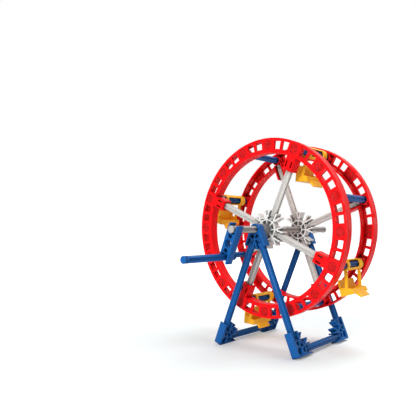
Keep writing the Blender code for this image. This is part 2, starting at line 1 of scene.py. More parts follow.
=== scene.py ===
"""The looks of a toy ferris wheel built from snap-together rods and connectors.

It is laid out as a Blender add-on and run as a script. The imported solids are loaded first, as a
fixed frame, and every piece made here stands for one of them and lies where it lies.
"""
import math

import bmesh
import bpy
from bpy.props import FloatProperty, FloatVectorProperty, PointerProperty
from bpy.types import Operator, Panel, PropertyGroup
from mathutils import Matrix, Vector


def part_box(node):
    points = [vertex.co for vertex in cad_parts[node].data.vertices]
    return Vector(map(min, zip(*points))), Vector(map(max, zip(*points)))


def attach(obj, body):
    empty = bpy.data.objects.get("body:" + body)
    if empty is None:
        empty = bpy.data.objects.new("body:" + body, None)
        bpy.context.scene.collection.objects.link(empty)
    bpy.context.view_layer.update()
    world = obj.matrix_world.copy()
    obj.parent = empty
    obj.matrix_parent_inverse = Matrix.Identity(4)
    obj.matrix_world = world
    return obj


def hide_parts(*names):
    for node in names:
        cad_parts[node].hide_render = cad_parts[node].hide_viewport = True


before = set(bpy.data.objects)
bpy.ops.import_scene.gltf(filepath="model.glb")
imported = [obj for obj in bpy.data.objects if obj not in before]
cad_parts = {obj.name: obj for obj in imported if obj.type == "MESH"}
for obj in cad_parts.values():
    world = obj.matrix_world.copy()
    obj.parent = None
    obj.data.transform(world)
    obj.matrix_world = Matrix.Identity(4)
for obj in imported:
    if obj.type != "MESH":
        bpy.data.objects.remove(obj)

bl_info = {
    "name": "Toy Ferris Wheel",
    "version": (1, 0, 0),
    "blender": (4, 5, 0),
    "location": "View3D > Sidebar > Ferris Wheel",
    "description": "Models and finishes the pieces of a rod-and-connector toy ferris wheel",
    "category": "Add Mesh",
}

MM = 0.001

# Rods and clips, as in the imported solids
FIT = 0.15 * MM
LEG_LENGTH = 65.8 * MM
SHORT_ROD_LENGTH = 43.0 * MM
AXLE_LENGTH = 108.0 * MM
HANDLE_LENGTH = 41.5 * MM
NECK_LENGTH = 1.3 * MM
DISC_LENGTH = 0.9 * MM
CLIP_THICKNESS = 5.4 * MM
HALF_STEP = math.radians(22.5)
GRIP_RADIUS = 6.6 * MM
GRIP_WALL = 0.9 * MM
RING_WALL = 0.9 * MM
HOLE_SIDES = 12
RIB_WIDTH = 0.9 * MM
FINGER_TIP = 12.3 * MM
FINGER_WALL = 1.2 * MM
FINGER_FLARE = 0.45 * MM
NOTCH_RADIUS = 8.6 * MM
OUTER_CORNER = 1.2 * MM
FOOT_FLAT = 1.1 * MM
DOWN = math.radians(270.0)
CRANK_ANGLE = math.radians(247.0)

# Rims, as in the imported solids
SPOKE_ANGLE = math.radians(65.9)
RIM_ENDS = (("front", SPOKE_ANGLE), ("rear", SPOKE_ANGLE + math.pi / 4))
SPOKE_END = 49.75 * MM
BOSS_CIRCLE = 53.398 * MM
BOSSES = 4
BOSS_STEP = math.pi / 2 / BOSSES
RIM_OUTER = BOSS_CIRCLE + 4.3 * MM
RIM_INNER = BOSS_CIRCLE - 5.0 * MM
RIM_TOP = 3.05 * MM
RIM_WEB = 1.2 * MM
RIM_FLANGE = 1.2 * MM
WEB_UNDER = RIM_TOP - RIM_WEB
CUP_RADIUS = 3.4 * MM
CUP_CLEARANCE = 0.2 * MM
WINDOW_HEIGHT = 5.0 * MM
WINDOW_LOW = BOSS_CIRCLE - WINDOW_HEIGHT / 2
WINDOW_HIGH = BOSS_CIRCLE + WINDOW_HEIGHT / 2
WINDOW_WIDTH = 4.7 * MM
WINDOW_BAR = 1.9 * MM
JOINT_OFFSET = 4.0 * MM
PLATE_REACH = 4.7 * MM
PLATE_THICKNESS = 0.8 * MM
PLATE_EDGE = 0.6 * MM
SOCKET_START = RIM_INNER - 8.8 * MM
SOCKET_END = RIM_INNER + RIM_FLANGE + 0.9 * MM
SOCKET_WIDTH = 7.0 * MM
SLIT_START = SOCKET_START + 2.1 * MM
SLIT_LENGTH = 3.8 * MM
SLIT_WIDTH = 1.0 * MM
SLIT_FLOOR = 0.3 * MM

# Seats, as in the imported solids, measured from the rod that each hangs on
SEAT_WIDTH = 20.0 * MM
SEAT_SHIFT = 2.3 * MM
SEAT_PLATE = 1.2 * MM
SEAT_BACK_X = -7.0 * MM
SEAT_FRONT_X = 2.2 * MM
SEAT_BOTTOM_Z = -18.5 * MM
BACK_TOP_Z = -8.0 * MM
ARM_BACK_Z = -12.9 * MM
ARM_FRONT_Z = -15.0 * MM
BARREL_CLEARANCE = 0.25 * MM
BARREL_SIDES = 16
BARREL_WINDOW = {"front": -8.2 * MM, "rear": 6.0 * MM, "half": 2.35 * MM}
FOOTREST_WIDTH = 11.5 * MM
FOOTREST_REACH = 2.7 * MM
FOOTREST_DROP = 2.8 * MM
STRAP_WIDTH = 1.9 * MM
STRAP_THICKNESS = 1.4 * MM
STRAP_INSET = 0.1 * MM
SEAT_TILTS = [math.radians(a) for a in (-5.0, -16.0, -5.0, 16.0)]

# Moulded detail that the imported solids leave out
GROOVE_MARGIN = 0.30 * MM
GROOVE_HALF_ANGLE = math.radians(20)
ROD_SHOULDER = 0.25 * MM
ROD_EDGE = 0.12 * MM
CLIP_CORNER = 0.25 * MM
CLIP_WINDOW_CORNER = 0.35 * MM
COLLAR_EDGE = 0.25 * MM
RIM_EDGE = 0.18 * MM
SOCKET_EDGE = 0.15 * MM
SLIT_SHIFT = 0.03 * MM
LAP = 0.3 * MM
PLATE_SINK = 0.6 * MM
PLATE_CORNER = 0.45 * MM
PAD_EDGE = 0.1 * MM
PAD_SINK = 0.2 * MM
PAD_GAP = 0.5 * MM
RIDGE_SIZE = 0.45 * MM
RIDGE_INSET = 0.6 * MM
THIN_EDGE = 0.2 * MM
SEAT_EDGE = 0.25 * MM
BACK_CORNER = 1.4 * MM

# How round forms are drawn
ROUND = 32
BOSS_ROUND = 40
FINE_ROUND = 48
CORNER_STEPS = 3
CORNER_SHARE = 0.45
OUTER_CORNER_STEPS = 6
CLIP_WALL_STEPS = 14
ARCH_STEPS = 14
CHANNEL_STEP = math.radians(2.6)
SECTOR_STEP = math.radians(3)
EDGE_ANGLE = math.radians(38)
SMOOTH_ANGLE = math.radians(32)

# How near counts as the same: points, places on a plane or a face, directions and angles
SAME_POINT = 0.0001 * MM
MERGE_DISTANCE = 0.0005 * MM
ON_PLANE = 0.001 * MM
ON_FACE = 0.02 * MM
FACES_ALONG = 0.9
SAME_ANGLE = 0.01
NEARLY_STRAIGHT = math.radians(80)

# How far a cutter reaches past what it cuts
PAST = 10.0 * MM

# The camera, from the axle
CAMERA_FROM_AXLE = Vector((177.8, -255.1, -0.8)) * MM
CAMERA_TURN = math.radians(35.9)
CAMERA_DOWN = math.radians(3.92)
CAMERA_LENS = 39.61
CAMERA_SHIFT = (-0.1623, 0.1299)
CAMERA_CLIP = (0.01, 10.0)

# The studio: the room's light, and two soft lights with their width, power in watts and place
ROOM_LIGHT = 0.44
ROOM_FRONT = 0.12
BACKDROP_FADE = (-0.35, 0.75)
FLOOR_WIDTH = 6.0
FLOOR_GLOW = 0.15
FLOOR_FADE = (0.12, 0.4)
LIGHTS = (("top light", 0.40, 2.2, (0.06, 0.18, 0.58)),
          ("front light", 0.20, 2.25, (0.12, -0.54, 0.22)))

# The plastics
RED_ABS = "red ABS, moulded gloss"
ETCHED_ABS = "red ABS, etched"
BLUE_ACETAL = "blue acetal, moulded satin"
WHITE_ACETAL = "white acetal, moulded satin"
# The spokes' plastic is the hubs' white acetal, with its colour greyed as painted shade
SHADED_WHITE_ACETAL = "off-white acetal, moulded satin"
YELLOW_ABS = "yellow ABS, moulded satin"
GREY_ACETAL = "grey acetal, moulded satin"
DARK_ACETAL = "dark grey acetal, moulded satin"
PLASTIC_IOR = 1.54
STREAK_SPAN = (0.30, 0.62)
GLOSS_SPAN = (-0.05, 0.07)
GRAIN_STRENGTH = 0.35
# Painted shade in grooves and pockets: how far the occlusion looks, and the openness over which the colour
# darkens
PAINTED_SHADE_REACH = 3.0 * MM
PAINTED_SHADE_SPAN = (0.22, 0.90)

SIDES = (("left", -1), ("right", 1))

# Exact quarter turns: a flat outline's X and Y to Y and Z, or to X and Z
FACING_X = Matrix(((0, 0, 1, 0), (1, 0, 0, 0), (0, 1, 0, 0), (0, 0, 0, 1)))
FACING_Y = Matrix(((1, 0, 0, 0), (0, 0, -1, 0), (0, 1, 0, 0), (0, 0, 0, 1)))


def linear(code):
    """An sRGB hex colour as linear red, green and blue."""
    values = [int(code[i:i + 2], 16) / 255 for i in (1, 3, 5)]
    return [v / 12.92 if v <= 0.04045 else ((v + 0.055) / 1.055) ** 2.4 for v in values]


def size_prop(name, description, default):
    """A length that a user may change."""
    return FloatProperty(name=name, description=description, default=default, unit="LENGTH",
                         subtype="DISTANCE", precision=5)


def colour_prop(name, description, code):
    """A colour that a user may change."""
    return FloatVectorProperty(name=name, description=description, default=linear(code), size=3,
                               subtype="COLOR", min=0.0, max=1.0)


class FERRIS_PG_sizes(PropertyGroup):
    """Sizes of the pieces that a user may change without moving them."""

    rod_diameter: size_prop("Rod diameter", "Across a rod", 4.5 * MM)
    groove_depth: size_prop("Groove depth", "Depth of the four grooves along a rod", 0.85 * MM)
    neck_diameter: size_prop("Neck diameter", "Across the neck at a rod's end", 3.2 * MM)
    disc_diameter: size_prop("Disc diameter", "Across the disc at a rod's end", 4.4 * MM)
    boss_radius: size_prop("Boss radius", "Radius of the round bosses on the rims", 3.1 * MM)
    boss_recess: size_prop("Boss recess", "How far a boss lies below the rim's face", 0.3 * MM)
    pad_height: size_prop("Pad height", "How far the pads inside a rim's channel stand up", 0.35 * MM)
    edge_radius: size_prop("Edge radius", "Rounding of the moulded edges", 0.22 * MM)
    barrel_wall: size_prop("Barrel wall", "Wall of the barrel that a seat hangs from", 1.05 * MM)


class FERRIS_PG_colours(PropertyGroup):
    """Colours of the plastics and of the floor."""

    red: colour_prop("Red", "The rims", "#F80E14")
    blue: colour_prop("Blue", "The stand, the crossing rods and the crank", "#11599F")
    white: colour_prop("White", "The hubs", "#E4E2DF")
    # The spokes' colour is the hubs' white drawn greyer: painted shade
    off_white: colour_prop("Off-white", "The spokes", "#CCC8C3")
    yellow: colour_prop("Yellow", "The seats", "#FFB926")
    grey: colour_prop("Grey", "The axle", "#ACA8A5")
    dark_grey: colour_prop("Dark grey", "The collar on the axle", "#808083")
    floor: colour_prop("Floor", "The pale floor", "#E8F0F0")


class FERRIS_PG_settings(PropertyGroup):
    """All that a user may change."""

    sizes: PointerProperty(type=FERRIS_PG_sizes)
    colours: PointerProperty(type=FERRIS_PG_colours)


def sizes():
    """The sizes of the scene that is open."""
    return bpy.context.scene.ferris_wheel.sizes


def colours():
    """The colours of the scene that is open."""
    return bpy.context.scene.ferris_wheel.colours


# Modelling, as by hand

def deselect():
    """Leave edit mode, and leave nothing selected."""
    active = bpy.context.view_layer.objects.active
    if active is not None and active.mode != "OBJECT":
        bpy.ops.object.mode_set(mode="OBJECT")
    bpy.ops.object.select_all(action="DESELECT")


def select_only(*objects):
    """Select these objects, with the first one active."""
    deselect()
    for obj in objects:
        obj.select_set(True)
    bpy.context.view_layer.objects.active = objects[0]


def edit(obj):
    """Open one object in edit mode, with nothing in it selected."""
    select_only(obj)
    bpy.ops.object.mode_set(mode="EDIT")
    bpy.ops.mesh.select_all(action="DESELECT")


def pick(kind, test):
    """In edit mode, select the faces or edges whose middle and normal pass a test."""
    bpy.ops.mesh.select_mode(type=kind)
    bpy.ops.mesh.select_all(action="DESELECT")
    mesh = bmesh.from_edit_mesh(bpy.context.object.data)
    if kind == "FACE":
        for face in mesh.faces:
            face.select_set(bool(test(face.calc_center_median(), face.normal)))
    else:
        for edge in mesh.edges:
            middle = (edge.verts[0].co + edge.verts[1].co) / 2
            edge.select_set(bool(test(middle, edge)))
    bmesh.update_edit_mesh(bpy.context.object.data)


def apply_modifier(obj, name, kind, **values):
    """Add a modifier, set it and apply it."""
    select_only(obj)
    modifier = obj.modifiers.new(name, kind)
    for key, value in values.items():
        setattr(modifier, key, value)
    bpy.ops.object.modifier_apply(modifier=modifier.name)


def round_edges(obj, width):
    """Round the moulded edges of a piece."""
    apply_modifier(obj, "moulded edges", "BEVEL", width=width, segments=2, limit_method="ANGLE",
                   angle_limit=EDGE_ANGLE, miter_outer="MITER_ARC")


def carve(obj, cutter):
    """Cut one object out of another, and remove the cutter."""
    apply_modifier(obj, "carve", "BOOLEAN", object=cutter, operation="DIFFERENCE", solver="EXACT")
    bpy.data.objects.remove(cutter)


def move_mesh(obj, matrix):
    """Move a piece's own mesh, and leave its object at the origin."""
    obj.data.transform(obj.matrix_world)
    obj.matrix_world = Matrix.Identity(4)
    obj.data.transform(matrix)
    return obj


def joined(name, *objects):
    """Join several shells into one object."""
    select_only(*objects)
    if len(objects) > 1:
        bpy.ops.object.join()
    obj = bpy.context.object
    obj.name = name
    return obj


def merge_doubles():
    """In edit mode, merge the vertices of the whole piece that meet."""
    bpy.ops.mesh.select_all(action="SELECT")
    bpy.ops.mesh.remove_doubles(threshold=MERGE_DISTANCE)


def smooth(obj):
    """Smooth all but the sharp edges of a piece."""
    select_only(obj)
    bpy.ops.object.shade_smooth_by_angle(angle=SMOOTH_ANGLE)
    return obj


def tidy(obj):
    """Merge doubles, drop loose edges, point the faces outwards, and smooth all but the sharp edges."""
    edit(obj)
    merge_doubles()
    bpy.ops.mesh.delete_loose()
    bpy.ops.mesh.select_all(action="SELECT")
    bpy.ops.mesh.normals_make_consistent(inside=False)
    if bmesh.from_edit_mesh(obj.data).calc_volume(signed=True) < 0:
        bpy.ops.mesh.flip_normals()
    bpy.ops.object.mode_set(mode="OBJECT")
    return smooth(obj)


def cylinder(name, radius, low, high, center=(0.0, 0.0), count=ROUND):
    """A round bar along Z between two heights."""
    deselect()
    bpy.ops.mesh.primitive_cylinder_add(vertices=count, radius=radius, depth=high - low,
                                        location=(center[0], center[1], (low + high) / 2))
    obj = bpy.context.object
    obj.name = name
    return move_mesh(obj, Matrix.Identity(4))


def block(name, low, high):
    """A box between two corners."""
    deselect()
    bpy.ops.mesh.primitive_cube_add(size=1.0)
    obj = bpy.context.object
    obj.name = name
    middle = (Vector(low) + Vector(high)) / 2
    extent = Vector(high) - Vector(low)
    return move_mesh(obj, Matrix.LocRotScale(middle, None, extent))


def polar(radius, angle):
    """The point at an angle on a circle round the origin."""
    return Vector((radius * math.cos(angle), radius * math.sin(angle)))


def ring_points(radius, count, center=(0.0, 0.0)):
    """Points round a circle."""
    return [polar(radius, 2 * math.pi * i / count) + Vector(center) for i in range(count)]


def rounded(points, radius):
    """An outline with its corners rounded."""
    outline = []
    for i, point in enumerate(points):
        before = points[i - 1] - point
        after = points[(i + 1) % len(points)] - point
        if before.length < SAME_POINT or after.length < SAME_POINT:
            continue
        half = before.angle(after) / 2
        if half > NEARLY_STRAIGHT:
            outline.append(point)
            continue
        reach = min(radius / math.tan(half), before.length * CORNER_SHARE, after.length * CORNER_SHARE)
        start = point + before.normalized() * reach
        end = point + after.normalized() * reach
        for k in range(CORNER_STEPS + 1):
            t = k / CORNER_STEPS
            outline.append(start * (1 - t) ** 2 + point * 2 * t * (1 - t) + end * t ** 2)
    return outline


def flat_piece(name, loops, low, high, edge):
    """A flat piece drawn as a filled curve with holes, thick from low to high, with rounded edges."""
    deselect()
    curve = bpy.data.curves.new(name, "CURVE")
    curve.dimensions = "2D"
    curve.fill_mode = "BOTH"
    curve.extrude = (high - low) / 2 - edge
    curve.bevel_depth = edge
    curve.bevel_resolution = 1
    curve.offset = -edge
    for loop in loops:
        spline = curve.splines.new("POLY")
        spline.points.add(len(loop) - 1)
        for target, point in zip(spline.points, loop):
            target.co = (point[0], point[1], 0.0, 1.0)
        spline.use_cyclic_u = True
    obj = bpy.data.objects.new(name, curve)
    bpy.context.scene.collection.objects.link(obj)
    select_only(obj)
    bpy.ops.object.convert(target="MESH")
    obj = bpy.context.object
    obj.name = name
    return tidy(move_mesh(obj, Matrix.Translation((0.0, 0.0, (low + high) / 2))))


def node_middle(node):
    """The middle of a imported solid's box."""
    low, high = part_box(node)
    return (low + high) / 2


def to_middle(node):
    """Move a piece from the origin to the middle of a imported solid's box."""
    return Matrix.Translation(node_middle(node))


def stand_for(pattern, node, body, matrix):
    """Copy a modelled piece, with its own mesh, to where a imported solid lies."""
    obj = pattern.copy()
    obj.data = pattern.data.copy()
    obj.name = f"{node}_moulded"
    obj.data.name = obj.name
    bpy.context.scene.collection.objects.link(obj)
    obj.data.transform(matrix)
    obj.data.update()
    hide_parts(node)
    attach(obj, body)
    return obj


def drop(*patterns):
    """Remove pieces that were only copied from."""
    for pattern in patterns:
        bpy.data.objects.remove(pattern)


# Materials

def add_node(owner, kind, values=None, **links):
    """Add a node to a material or world, with its settings. A link is an input, by its name or as its
    number after an underscore, and the output that feeds it.
    """
    tree = owner.node_tree
    node = tree.nodes.new(kind)
    for key, value in (values or {}).items():
        if isinstance(key, str) and hasattr(node, key):
            setattr(node, key, value)
        else:
            node.inputs[key].default_value = value
    for key, output in links.items():
        tree.links.new(output, node.inputs[int(key[1:]) if key[0] == "_" else key.replace("_", " ")])
    return node


def moulded_plastic(name, base, roughness, share=1.0, deep=0.88, painted_crease_shade=0.25, cloud_mm=6.0, grain_mm=0.35,
                    grain_height=0.004, specular=0.16):
    """A moulded plastic with a satin gloss.

    The melt leaves faint cloudy streaks a few millimetres across in the colour and the gloss, and
    the tool leaves a fine grain. The grain of a real tool is about 0.05 mm, too fine for the
    render, so it is drawn coarser. Grooves and pockets get painted shade: an ambient occlusion node
    darkens their colour where little light gets in, to a part of it, and this makes them read as deep.
    """
    base = [value * share for value in base]
    material = bpy.data.materials.new(name)
    material.use_nodes = True
    links = material.node_tree.links
    shader = material.node_tree.nodes["Principled BSDF"]
    place = add_node(material, "ShaderNodeTexCoord")
    streaks = add_node(material, "ShaderNodeTexNoise", {"Scale": 1 / (cloud_mm * MM), "Detail": 3.0},
                       Vector=place.outputs["Object"])
    tint = add_node(material, "ShaderNodeValToRGB", Fac=streaks.outputs["Fac"])
    for index, colour in enumerate(([value * deep for value in base], base)):
        tint.color_ramp.elements[index].position = STREAK_SPAN[index]
        tint.color_ramp.elements[index].color = (*colour, 1.0)
    # Painted shade: the colour is darkened where ambient occlusion finds a groove, pocket or crease, down
    # to a share set for each plastic
    painted_shade_occlusion = add_node(material, "ShaderNodeAmbientOcclusion", {"samples": 8, "Distance": PAINTED_SHADE_REACH})
    shade = {"From Min": PAINTED_SHADE_SPAN[0], "From Max": PAINTED_SHADE_SPAN[1], "To Min": painted_crease_shade, "To Max": 1.0}
    lit = add_node(material, "ShaderNodeMapRange", shade, Value=painted_shade_occlusion.outputs["AO"])
    shaded = add_node(material, "ShaderNodeVectorMath", {"operation": "SCALE"}, _0=tint.outputs["Color"],
                      _3=lit.outputs["Result"])
    links.new(shaded.outputs["Vector"], shader.inputs["Base Color"])
    spread = {"To Min": roughness + GLOSS_SPAN[0], "To Max": roughness + GLOSS_SPAN[1]}
    gloss = add_node(material, "ShaderNodeMapRange", spread, Value=streaks.outputs["Fac"])
    links.new(gloss.outputs["Result"], shader.inputs["Roughness"])
    grain = add_node(material, "ShaderNodeTexNoise", {"Scale": 1 / (grain_mm * MM), "Detail": 2.0},
                     Vector=place.outputs["Object"])
    relief = {"Strength": GRAIN_STRENGTH, "Distance": grain_height * MM}
    bump = add_node(material, "ShaderNodeBump", relief, Height=grain.outputs["Fac"])
    links.new(bump.outputs["Normal"], shader.inputs["Normal"])
    shader.inputs["IOR"].default_value = PLASTIC_IOR
    shader.inputs["Specular IOR Level"].default_value = specular
    material.diffuse_color = (*base, 1.0)
    return material


# Each plastic's colour, its roughness, and what sets it apart. Where it isn't given, grooves and pockets
# keep a quarter of the colour at their deepest as painted shade
PLASTICS = {
    # From a polished tool: a full red with a soft sheen along the crests
    RED_ABS: ("red", 0.36, {"specular": 0.10}),
    # The same plastic where the tool was etched: matt, a little deeper, with a pebbled grain
    ETCHED_ABS: ("red", 0.60, {"share": 0.70, "deep": 0.55, "cloud_mm": 1.6, "grain_mm": 0.9,
                               "grain_height": 0.10}),
    # From a fine-ground tool: satin, with slots and grooves painted a dark blue as shade
    BLUE_ACETAL: ("blue", 0.36, {"painted_crease_shade": 0.35}),
    # White shows its shadows most: even faces, and pockets painted nearly black as shade
    WHITE_ACETAL: ("white", 0.36, {"deep": 0.95, "painted_crease_shade": 0.15}),
    # The spokes are the hubs' white acetal, drawn a little greyer as painted shade
    SHADED_WHITE_ACETAL: ("off_white", 0.36, {"deep": 0.93, "painted_crease_shade": 0.15}),
    # Thin yellow walls let light through, so their corners get almost no painted shade
    YELLOW_ABS: ("yellow", 0.38, {"deep": 0.94, "painted_crease_shade": 0.95}),
    # The axle's grey is even, and the collar's is duller
    GREY_ACETAL: ("grey", 0.38, {"deep": 0.92}),
    DARK_ACETAL: ("dark_grey", 0.42, {"deep": 0.92}),
}


def plastic(kind):
    """The material of one of the plastics, made once."""
    found = bpy.data.materials.get(kind)
    if found is not None:
        return found
    colour, roughness, settings = PLASTICS[kind]
    return moulded_plastic(kind, getattr(colours(), colour), roughness, **settings)


def paint(obj, *kinds):
    """Give a modelled piece its plastics, the first one all over."""
    obj.data.materials.clear()
    for kind in kinds:
        obj.data.materials.append(plastic(kind))
    for face in obj.data.polygons:
        face.material_index = 0
    return obj


def paint_faces(obj, index, test):
    """Give the faces that pass a test another of the piece's plastics."""
    for face in obj.data.polygons:
        if test(face.center, face.normal):
            face.material_index = index


# Pieces

def model_rod(name, full_length, necks=True):
    """A rod along Z, centred: four grooves, and at each end a neck and a disc.

    It starts as a cylinder. The grooves are inset and sunk, and the ends are inset and extruded.
    """
    chosen = sizes()
    radius = chosen.rod_diameter / 2
    ends = NECK_LENGTH + DISC_LENGTH if necks else 0.0
    body = full_length / 2 - ends
    rod = cylinder(name, radius, -body, body)
    edit(rod)
    for turn in range(4):
        middle = Vector((*polar(1.0, turn * math.pi / 2), 0.0))
        pick("FACE", lambda co, normal: abs(normal.z) < FACES_ALONG
             and normal.angle(middle) < GROOVE_HALF_ANGLE)
        bpy.ops.mesh.inset(thickness=GROOVE_MARGIN, depth=-chosen.groove_depth)
    if necks:
        shoulder = radius - ROD_SHOULDER
        neck = chosen.neck_diameter / 2
        disc = chosen.disc_diameter / 2
        # Each step out along the rod, and by how much the end then widens or narrows
        steps = ((0.0, shoulder / radius), (NECK_LENGTH * 0.25, neck / shoulder),
                 (NECK_LENGTH * 0.65, 1.0), (NECK_LENGTH * 0.1, disc / neck), (DISC_LENGTH, 1.0))
        for side in (-1, 1):
            pick("FACE", lambda co, normal: normal.z * side > FACES_ALONG
                 and co.z * side > body - ON_FACE)
            top = side * body
            for step, factor in steps:
                move = {"value": (0.0, 0.0, side * step)}
                bpy.ops.mesh.extrude_region_move(TRANSFORM_OT_translate=move)
                top += side * step
                bpy.ops.transform.resize(value=(factor, factor, 1.0), center_override=(0.0, 0.0, top))
    bpy.ops.object.mode_set(mode="OBJECT")
    round_edges(rod, ROD_EDGE)
    return tidy(rod)


def slot_half():
    """Half the width of a slot or trough that a rod lies in."""
    return sizes().rod_diameter / 2 + FIT


def slot_side(collar):
    """One side of a clip's slot, from the seat out to the finger's tip: (along, across)."""
    half = slot_half()
    pocket = sizes().disc_diameter / 2 + FIT
    start = GRIP_RADIUS + FIT + DISC_LENGTH
    side = [(GRIP_RADIUS, pocket)]
    if collar:
        side += [(start + FIT, pocket), (start + NECK_LENGTH / 3, sizes().neck_diameter / 2 + 1.5 * FIT)]
    flare = [(FINGER_TIP - FINGER_FLARE, half), (FINGER_TIP, half + FINGER_FLARE)]
    return side + [(start + NECK_LENGTH, half)] + flare


def turned(point, angle):
    """A slot's own point (along, across) turned to the slot's angle."""
    return Matrix.Rotation(angle, 2) @ Vector(point)


def model_clip(name, slots, collar=True, straight=False):
    """A fan of slots round a ringed hole, drawn flat and given its thickness.

    The angles rise, and the way from the last back to the first is walled.
    """
    outer = slot_half() + FINGER_WALL
    side = slot_side(collar)
    tip = (FINGER_TIP - FINGER_FLARE, outer)
    step = 2 * HALF_STEP
    full = len(slots) * step > 2 * math.pi - SAME_ANGLE
    outline = []
    for index, angle in enumerate(slots):
        first = index == 0 and not full
        last = index == len(slots) - 1 and not full
        start = (FINGER_TIP, -outer) if first else (tip[0], -tip[1])
        end = (FINGER_TIP, outer) if last else tip
        profile = [(along, -across) for along, across in reversed(side)] + side
        outline += [turned(point, angle) for point in [start] + profile + [end]]
        if last:
            continue
        following = slots[(index + 1) % len(slots)]
        gap = (following - angle) % (2 * math.pi)
        if gap < step * 1.5:
            outline.append(polar(NOTCH_RADIUS, angle + HALF_STEP))
        elif not straight:
            root = GRIP_RADIUS * math.sqrt(2) - tip[1]
            outline.append(turned((root, tip[1]), angle))
            bend = GRIP_RADIUS / math.cos(HALF_STEP)
            outline += [polar(bend, angle + HALF_STEP + i * step) for i in range(1, round(gap / step) - 1)]
            outline.append(turned((root, -tip[1]), following))
    if not full:
        outline += closed_side(slots[-1], slots[0] + 2 * math.pi, outer)
    loops = [rounded(outline, CLIP_CORNER), ring_points(slot_half(), ROUND)]
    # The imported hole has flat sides, and its wall is measured from their corners
    ring = slot_half() / math.cos(math.pi / HOLE_SIDES) + RING_WALL
    rib = RIB_WIDTH / 2 / math.cos(HALF_STEP)
    far = GRIP_RADIUS - GRIP_WALL
    last_window = round((slots[-1] - slots[0]) / step)
    for index in (0, last_window) if straight else range(last_window + 1):
        window = [turned((r, s * (r * math.tan(HALF_STEP) - rib)), slots[0] + index * step)
                  for r, s in ((ring, -1), (far, -1), (far, 1), (ring, 1))]
        loops.append(rounded(window, CLIP_WINDOW_CORNER))
    return flat_piece(name, loops, -CLIP_THICKNESS / 2, CLIP_THICKNESS / 2, sizes().edge_radius)


def closed_side(last, first, outer):
    """The outer wall of a clip, from the last slot round the back to the first."""
    turn = (first - last) - math.pi
    if abs(turn) < SAME_ANGLE:
        return []
    start = last + math.pi / 2
    if turn > math.pi / 2 + SAME_ANGLE:
        return [polar(outer, start + turn * i / CLIP_WALL_STEPS) for i in range(CLIP_WALL_STEPS + 1)]
    corner = (outer - OUTER_CORNER) / math.cos(turn / 2)
    center = polar(corner, (last + first) / 2)
    angles = [start + turn * i / OUTER_CORNER_STEPS for i in range(OUTER_CORNER_STEPS + 1)]
    return [center + polar(OUTER_CORNER, angle) for angle in angles]


def model_foot(name, lean):
    """A three-slot corner clip, cut level where it meets the table."""
    foot = model_clip(name, [0.0, 2 * HALF_STEP, 4 * HALF_STEP])
    sine = math.sin(HALF_STEP)
    cosine = math.cos(HALF_STEP)
    outer = slot_half() + FINGER_WALL
    drop_to_table = outer * cosine + CLIP_THICKNESS / 2 * sine - FOOT_FLAT * sine * cosine
    down = Vector((0.0, -cosine, -lean * sine))
    edit(foot)
    bpy.ops.mesh.select_all(action="SELECT")
    bpy.ops.mesh.bisect(plane_co=down * drop_to_table, plane_no=down, clear_outer=True, use_fill=True,
                        threshold=ON_PLANE)
    bpy.ops.object.mode_set(mode="OBJECT")
    return tidy(foot)


def upright(angle=0.0):
    """Stand a flat piece up facing the front, and turn it by an angle as seen from there."""
    return Matrix.Rotation(math.pi / 2, 4, "X") @ Matrix.Rotation(angle, 4, "Z")


def radial(angle):
    """Turn a rod that lies along Z to point out of the axle at an angle."""
    return Matrix.Rotation(math.pi / 2 - angle, 4, "Y")


class FERRIS_OT_rods(Operator):
    """Model the grooved rods of the stand, the wheel and the crank"""

    bl_idname = "ferris.rods"
    bl_label = "Rods"

    def execute(self, context):
        leg = paint(model_rod("leg", LEG_LENGTH), BLUE_ACETAL)
        for end in ("front", "rear"):
            for side, sign in SIDES:
                node = f"{end}_{side}_leg"
                turn = radial(DOWN + sign * HALF_STEP)
                stand_for(leg, node, "stand", to_middle(node) @ turn)
        short = paint(model_rod("short_rod", SHORT_ROD_LENGTH), BLUE_ACETAL)
        for side in ("left", "right"):
            node = f"{side}_base_rod"
            stand_for(short, node, "stand", to_middle(node) @ FACING_Y)
        paint(short, SHADED_WHITE_ACETAL)
        for end, first in RIM_ENDS:
            for index in range(4):
                node = f"{end}_spoke_{index + 1}"
                turn = radial(first + index * math.pi / 2)
                stand_for(short, node, "wheel", to_middle(node) @ turn)
        low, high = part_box("cross_rod_1")
        cross = paint(model_rod("cross_rod", high.y - low.y, necks=False), BLUE_ACETAL)
        for kind in ("gondola_rod", "cross_rod"):
            for index in range(4):
                node = f"{kind}_{index + 1}"
                stand_for(cross, node, "wheel", to_middle(node) @ FACING_Y)
        axle = paint(model_rod("axle_rod", AXLE_LENGTH), GREY_ACETAL)
        stand_for(axle, "axle", "wheel", to_middle("axle") @ FACING_Y)
        handle = paint(model_rod("handle_rod", HANDLE_LENGTH), BLUE_ACETAL)
        stand_for(handle, "crank_handle", "wheel", to_middle("crank_handle") @ FACING_Y)
        drop(leg, short, cross, axle, handle)
        return {"FINISHED"}


class FERRIS_OT_stand_clips(Operator):
    """Model the frame tops and the feet of the stand"""

    bl_idname = "ferris.stand_clips"
    bl_label = "Stand clips"

    def execute(self, context):
        axle = node_middle("axle")
        top = paint(model_clip("frame_top", [DOWN - HALF_STEP, DOWN + HALF_STEP]), BLUE_ACETAL)
        feet = {lean: paint(model_foot("foot", lean), BLUE_ACETAL) for lean in (-1, 1)}
        for end, inward in (("front", Vector((0.0, 1.0, 0.0))), ("rear", Vector((0.0, -1.0, 0.0)))):
            node = f"{end}_frame_top"
            y = node_middle(node).y
            place = Matrix.Translation((axle.x, y, axle.z))
            stand_for(top, node, "stand", place @ upright())
            for side, sign in SIDES:
                base = node_middle(f"{side}_base_rod")
                up_leg = Vector((-sign * math.sin(HALF_STEP), 0.0, math.cos(HALF_STEP)))
                across = inward.cross(up_leg)
                turn = Matrix((inward, up_leg, across)).transposed().to_4x4()
                stand_for(feet[1 if across.z > 0 else -1], f"{end}_{side}_foot", "stand",
                          Matrix.Translation((base.x, y, base.z)) @ turn)
        drop(top, *feet.values())
        return {"FINISHED"}


